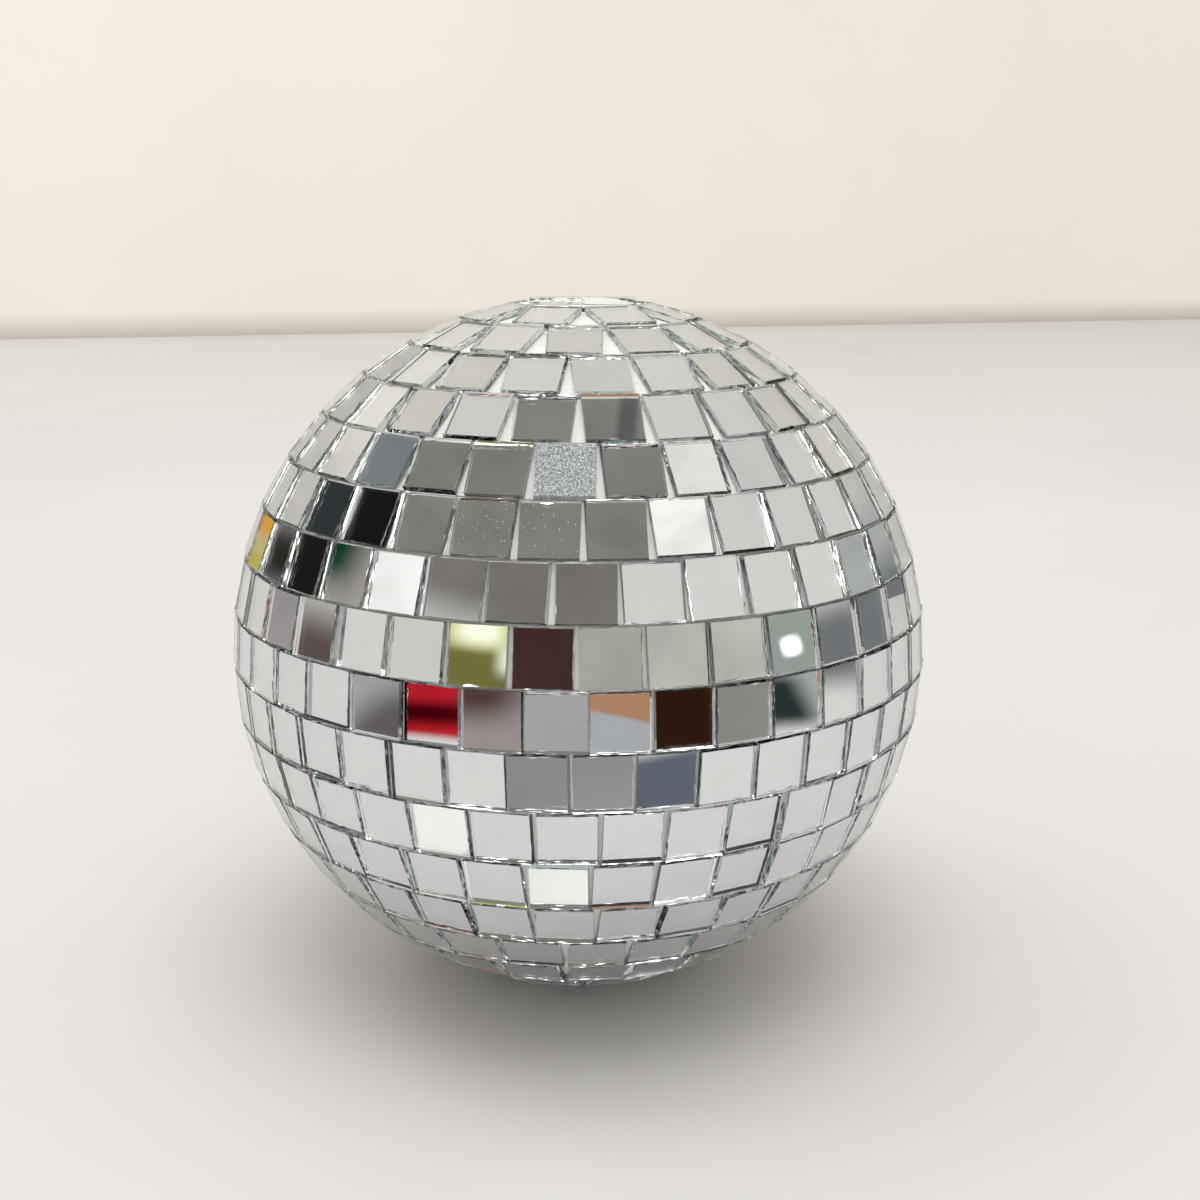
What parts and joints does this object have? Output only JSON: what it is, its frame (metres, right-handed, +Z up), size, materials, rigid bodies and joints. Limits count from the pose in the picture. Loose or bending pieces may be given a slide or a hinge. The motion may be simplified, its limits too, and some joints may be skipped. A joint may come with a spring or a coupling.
{
  "type": "mirror ball",
  "caption": "Mirror ball: hollow two-part core covered in latitude rows of square silvered glass tiles, with a recessed chrome hanger and a folding wire bail at one pole",
  "frame": {"origin": "centre of the flat hanger flange that the ball stands on, at the bottom of the object", "axes": "+Z is up along the axis through both poles; the bail pivots about Y and is folded towards +X at rest; -Y is the side seen from the front"},
  "size_m": [0.1365, 0.1365, 0.1361],
  "materials": {
    "mirror_tile": "polished silvered glass with clear green-tinted cut edges",
    "backing": "white woven self-adhesive",
    "core": "white moulded",
    "hanger_chrome": "polished",
    "fastener_steel": "zinc plated"
  },
  "bodies": {
    "ball": {"core_upper": "core", "core_lower": "core", "strip_top": "backing", "strip_u1": "backing", "strip_u2": "backing", "strip_u3": "backing", "strip_u4": "backing", "strip_u5": "backing", "strip_u6": "backing", "strip_u7": "backing", "strip_u8": "backing", "strip_u9": "backing", "strip_l1": "backing", "strip_l2": "backing", "strip_l3": "backing", "strip_l4": "backing", "strip_l5": "backing", "strip_l6": "backing", "strip_l7": "backing", "strip_l8": "backing", "strip_l9": "backing", "tiles_top": "mirror_tile", "tiles_u1": "mirror_tile", "tiles_u2": "mirror_tile", "tiles_u3": "mirror_tile", "tiles_u4": "mirror_tile", "tiles_u5": "mirror_tile", "tiles_u6": "mirror_tile", "tiles_u7": "mirror_tile", "tiles_u8": "mirror_tile", "tiles_u9": "mirror_tile", "tiles_l1": "mirror_tile", "tiles_l2": "mirror_tile", "tiles_l3": "mirror_tile", "tiles_l4": "mirror_tile", "tiles_l5": "mirror_tile", "tiles_l6": "mirror_tile", "tiles_l7": "mirror_tile", "tiles_l8": "mirror_tile", "tiles_l9": "mirror_tile", "hanger_cup": "hanger_chrome", "hanger_bolt": "fastener_steel", "inner_washer": "fastener_steel", "lock_nut": "fastener_steel"},
    "bail": {"hanging_bail": "hanger_chrome"}
  },
  "joints": [
    {"name": "bail_swing", "type": "hinge", "parent": "ball", "child": "bail", "pos_m": [0, 0, 0.002], "axis": [0, 1, 0], "range_deg": [0, 180]}
  ]
}
